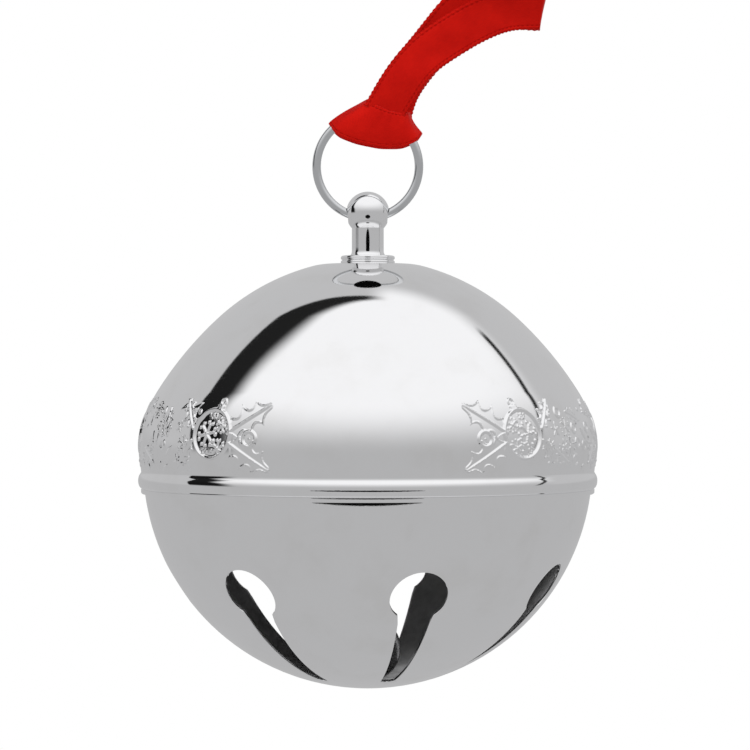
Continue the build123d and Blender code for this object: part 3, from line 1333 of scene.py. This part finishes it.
@dataclass
class RibbonHitch:
    """The cow hitch: a bight of ribbon drawn tight over the ring. Sizes in mm from the ring's centre."""

    center: Vector
    thickness: float = 0.3
    across: float = 7.0
    columns: int = 36
    column_width: float = 0.85
    pleat: float = 0.11
    leg_place: float = 0.52
    leg_width: float = 0.07
    leg_depth: float = 0.7
    stations: tuple = (0.0, 0.09, 0.26, 0.5, 0.74, 0.91, 1.0)
    levels: tuple = (
        (
            (-6.6, 7.1, 0.0), (-5.3, 5.0, 1.5), (-1.9, 3.75, 2.1), (2.0, 3.0, 2.3),
            (5.5, 2.95, 2.1), (8.1, 3.9, 1.5), (9.15, 5.4, 0.0),
        ),
        (
            (-5.7, 7.9, 0.0), (-4.7, 6.4, 1.6), (-1.4, 5.0, 2.3), (2.2, 4.3, 2.5),
            (5.4, 4.2, 2.3), (7.75, 4.9, 1.6), (8.5, 6.1, 0.0),
        ),
        (
            (-3.7, 9.2, 0.0), (-2.9, 8.1, 1.5), (-0.3, 6.9, 2.2), (2.8, 6.2, 2.4),
            (5.3, 5.9, 2.2), (7.05, 6.3, 1.5), (7.6, 7.2, 0.0),
        ),
        (
            (-1.5, 10.3, 0.0), (-0.9, 9.6, 1.3), (1.0, 8.6, 2.0), (3.3, 7.9, 2.1),
            (5.3, 7.5, 2.0), (6.6, 7.7, 1.3), (7.1, 8.3, 0.0),
        ),
        (
            (0.2, 11.3, 0.0), (0.5, 10.8, 1.1), (1.9, 9.9, 1.8), (3.7, 9.1, 1.9),
            (5.3, 8.8, 1.8), (6.5, 8.8, 1.2), (6.95, 9.1, 0.0),
        ),
    )

    def ring(self, level: int) -> list:
        """Places of one ring of the knot, round its front and back.

        Args:
            level: from 0 at the hem to the last at the neck.

        Returns:
            The points.
        """
        spots = np.array(self.levels[level])
        made = []
        for k in range(self.columns):
            turn = tau * k / self.columns
            share = (1 - cos(turn)) / 2
            x, z, y = (float(np.interp(share, self.stations, spots[:, i])) for i in range(3))
            front = sin(turn) > 0
            fold = self.pleat * (1 if k % 2 else -1) * level / 4 * (y > 0.8)
            parting = np.exp(-(((share - self.leg_place) / self.leg_width) ** 2)) * level / 4
            legs = 0.0 if front else self.leg_depth * parting
            made.append(self.center + Vector((x, (-1 if front else 1) * (y + fold - legs), z)) * MM)
        return made

    def build(self, satin: bpy.types.Material) -> bpy.types.Object:
        """Make the knot.

        Args:
            satin: its finish.

        Returns:
            The piece.
        """
        made = bmesh.new()
        weave = made.loops.layers.uv.new("weave")
        hem = bmesh.ops.create_circle(made, cap_ends=False, segments=self.columns, radius=5 * MM)["verts"]
        column = {vert: k for k, vert in enumerate(hem)}
        level = {vert: 0 for vert in hem}
        rim = set(hem)
        for above in range(1, len(self.levels)):
            loop = [e for e in made.edges if e.verts[0] in rim and e.verts[1] in rim]
            raised = bmesh.ops.extrude_edge_only(made, edges=loop)["geom"]
            fresh = {v for v in raised if isinstance(v, bmesh.types.BMVert)}
            for vert in fresh:
                below = next(e.other_vert(vert) for e in vert.link_edges if e.other_vert(vert) in rim)
                column[vert] = column[below]
                level[vert] = above
            rim = fresh
        spots = [self.ring(k) for k in range(len(self.levels))]
        for vert in made.verts:
            vert.co = spots[level[vert]][column[vert]]
        step = self.across / (len(self.levels) - 1)
        for face in made.faces:
            around = [column[loop.vert] for loop in face.loops]
            wraps = max(around) - min(around) > 1
            for loop, k in zip(face.loops, around):
                along = self.columns if wraps and k == 0 else k
                loop[weave].uv = (level[loop.vert] * step * MM, along * self.column_width * MM)
        bmesh.ops.recalc_face_normals(made, faces=made.faces)
        piece = finish_piece("ribbon_knot", made, satin, "ribbon", 80)
        piece.visible_glossy = False
        thicken(piece, self.thickness)
        smooth = piece.modifiers.new("drape", "SUBSURF")
        smooth.levels = smooth.render_levels = 3
        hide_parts("ribbon_hitch")
        return piece


# ------------------------------------------------------------------------------------------ studio
@dataclass
class Studio:
    """Floor, surrounding light and camera."""

    axis: Vector
    distance: float = 457.2 * MM
    camera_rise: float = 17.8 * MM
    camera_shift: float = 1.2 * MM
    lens: float = 131.8
    floor_drop: float = 160 * MM
    floor_half: float = 3.0
    flags: tuple = (
        ("neck_flag", (0, -13, 40.3), 5.6, 4.6),
        ("bead_flag", (0, -54, -4.8), 36, 3.6),
    )

    def build(self) -> None:
        """Make the stage and the camera."""
        self.world()
        self.floor()
        for name, place, width, height in self.flags:
            self.flag(name, place, width, height)
        camera = bpy.data.cameras.new("camera")
        camera.lens = self.lens
        camera.sensor_width = 36
        camera.clip_start, camera.clip_end = 0.01, 20
        holder = bpy.data.objects.new("camera", camera)
        holder.location = self.axis + Vector((self.camera_shift, -self.distance, self.camera_rise))
        holder.rotation_euler = (pi / 2, 0, 0)
        bpy.context.scene.collection.objects.link(holder)
        bpy.context.scene.camera = holder
        bpy.context.scene.view_settings.view_transform = "Standard"

    def world(self) -> None:
        """Soft light from a tent: bright above and in front, a dark gap behind that, and pale walls."""
        world = bpy.data.worlds.new("tent")
        bpy.context.scene.world = world
        shader = Shader(world)
        x, y, z = shader.axes(shader.coordinates("Generated"))
        lean = y - z * 0.34
        left = shader.fade(-x, -0.1, 0.5)
        right = shader.fade(x, -0.02, 0.12)
        edge = left * 0.08 + 0.035
        wall_left = shader.fade(lean, edge, edge + 0.02)
        wall = wall_left * (1 - right) + shader.fade(lean, 0.05, 0.3) * right
        low = left * (1 - shader.fade(z, 0.28, 0.46))
        start = left * -0.24 - low * 0.17 - 0.03
        gap = shader.fade(lean, start, left * -0.1 + 0.01 - low * 0.14) * (1 - wall_left) * (1 - right)
        sliver = (1 - shader.fade(abs(y - z * 0.57 - 0.01), 0.012, 0.04)) * shader.fade(x, 0.5, 0.56)
        tent = shader.fade(z, 0.06, 0.8) * 0.51 + 0.49
        above = (tent * (1 - wall) + wall * 0.55) * (1 - shader.math("MAXIMUM", gap, sliver) * 0.985)
        rise = shader.fade(z, 0.0, 0.12)
        level = above * rise + (1 - rise) * 0.485
        seen = shader.node("ShaderNodeLightPath").outputs["Is Camera Ray"]
        grey = shader.node("ShaderNodeCombineColor", None, {0: level, 1: level, 2: level * 1.01})
        around = shader.node("ShaderNodeBackground", None, {"Color": grey.outputs[0], "Strength": 1.0})
        plain = shader.node("ShaderNodeBackground", None, {"Color": WHITE, "Strength": 1.0})
        inputs = {0: seen, 1: around.outputs[0], 2: plain.outputs[0]}
        mixed = shader.node("ShaderNodeMixShader", None, inputs)
        shader.node("ShaderNodeOutputWorld", None, {"Surface": mixed.outputs[0]})

    def flag(self, name: str, place: tuple, width: float, height: float) -> None:
        """Hang a small oval black card in front, where only the polished metal sees it.

        Args:
            name: its name.
            place: its middle in mm from the girdle's centre.
            width: its width in mm.
            height: its height in mm.
        """
        made = bmesh.new()
        bmesh.ops.create_circle(made, cap_ends=True, segments=48, radius=0.5 * MM)
        bmesh.ops.scale(made, verts=made.verts, vec=(width, height, 1))
        bmesh.ops.rotate(made, cent=(0, 0, 0), matrix=Matrix.Rotation(pi / 2, 3, "X"), verts=made.verts)
        bmesh.ops.translate(made, verts=made.verts, vec=self.axis + Vector(place) * MM)
        black = bpy.data.materials.new("flag_cloth")
        shader = Shader(black)
        shader.surface(Base_Color=(0.004, 0.004, 0.004, 1), Roughness=1.0, Specular_IOR_Level=0.0)
        card = self.stand(name, made, black)
        card.visible_camera = False
        card.visible_shadow = False
        card.visible_diffuse = False

    def stand(self, name: str, made: bmesh.types.BMesh, finish: bpy.types.Material) -> bpy.types.Object:
        """Put a piece of the studio in the scene.

        Args:
            name: its name.
            made: its mesh, which is freed.
            finish: its material.

        Returns:
            The object.
        """
        data = bpy.data.meshes.new(name)
        made.to_mesh(data)
        made.free()
        data.materials.append(finish)
        piece = bpy.data.objects.new(name, data)
        bpy.context.scene.collection.objects.link(piece)
        return piece

    def floor(self) -> None:
        """Pale floor well under the hanging bell."""
        made = bmesh.new()
        bmesh.ops.create_grid(made, x_segments=1, y_segments=1, size=self.floor_half)
        bmesh.ops.translate(made, verts=made.verts, vec=self.axis - Vector((0, 0, self.floor_drop)))
        paint = bpy.data.materials.new("pale_floor")
        shader = Shader(paint)
        seen = shader.node("ShaderNodeLightPath").outputs["Is Camera Ray"]
        dim = shader.node("ShaderNodeEmission", None, {"Color": (0.485, 0.485, 0.49, 1), "Strength": 1.0})
        plain = shader.node("ShaderNodeEmission", None, {"Color": WHITE, "Strength": 1.0})
        inputs = {0: seen, 1: dim.outputs[0], 2: plain.outputs[0]}
        mixed = shader.node("ShaderNodeMixShader", None, inputs)
        shader.node("ShaderNodeOutputMaterial", None, {"Surface": mixed.outputs[0]})
        self.stand("floor", made, paint)


def dress_node(node: str, material: bpy.types.Material) -> None:
    """Give a kept CAD node its finish.

    Args:
        node: the node's name.
        material: the finish.
    """
    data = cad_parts[node].data
    data.materials.clear()
    data.materials.append(material)
    LOG.info("%s: dressed", node)


def main() -> None:
    """Build the ornament and the studio."""
    logging.basicConfig(level=logging.INFO, format="%(name)s %(message)s")
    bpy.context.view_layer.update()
    low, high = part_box("upper_shell")
    axis = Vector(((low[0] + high[0]) / 2, 0.0, high[2] - Dome().crown_height * MM))
    ring_low, ring_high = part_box("hanging_ring")
    ring_center = (Vector(ring_low) + Vector(ring_high)) / 2
    Studio(axis).build()
    satin = Satin("satin_red").material()
    RibbonLoop().build(satin, RibbonHitch(ring_center).build(satin))
    silver = SilverPlate("silver_plate").material()
    trim = SilverPlate("finial_silver", roughness=0.05, ripple=0.0).material()
    # Painted shade: the ring wire's grey and dark tints, well below the silver plate's, stand in for the
    # dark reflections along the wire.
    grey, dark = (0.66, 0.67, 0.68, 1), (0.5, 0.5, 0.5, 1)
    wire = SilverPlate("ring_wire", tint=grey, shade=dark, roughness=0.05, ripple=0.0).material()
    dome = Dome()
    # Painted shade: the lining's greys, darker than the silver outside, stand in for the dimmer inside of
    # the bell seen through the slots.
    lining = TurnedMetal("bell_lining", (0.72, 0.72, 0.72, 1), (0.6, 0.6, 0.6, 1), 0.3).material()
    dome.build(axis, silver, lining)
    Frieze(dome).build(axis, silver)
    Bowl().build(axis, silver, lining)
    Finial().build(axis, trim)
    HangingRing(ring_center).build(wire)
    brass = TurnedMetal("nut_brass", (0.8, 0.62, 0.3, 1), (0.6, 0.44, 0.2, 1), 0.28).material()
    steel = TurnedMetal("striker_steel", (0.62, 0.62, 0.63, 1), (0.42, 0.42, 0.43, 1), 0.25).material()
    dress_node("inner_washer", brass)
    dress_node("lock_nut", brass)
    dress_node("pellet", steel)


if __name__ == "__main__":
    main()
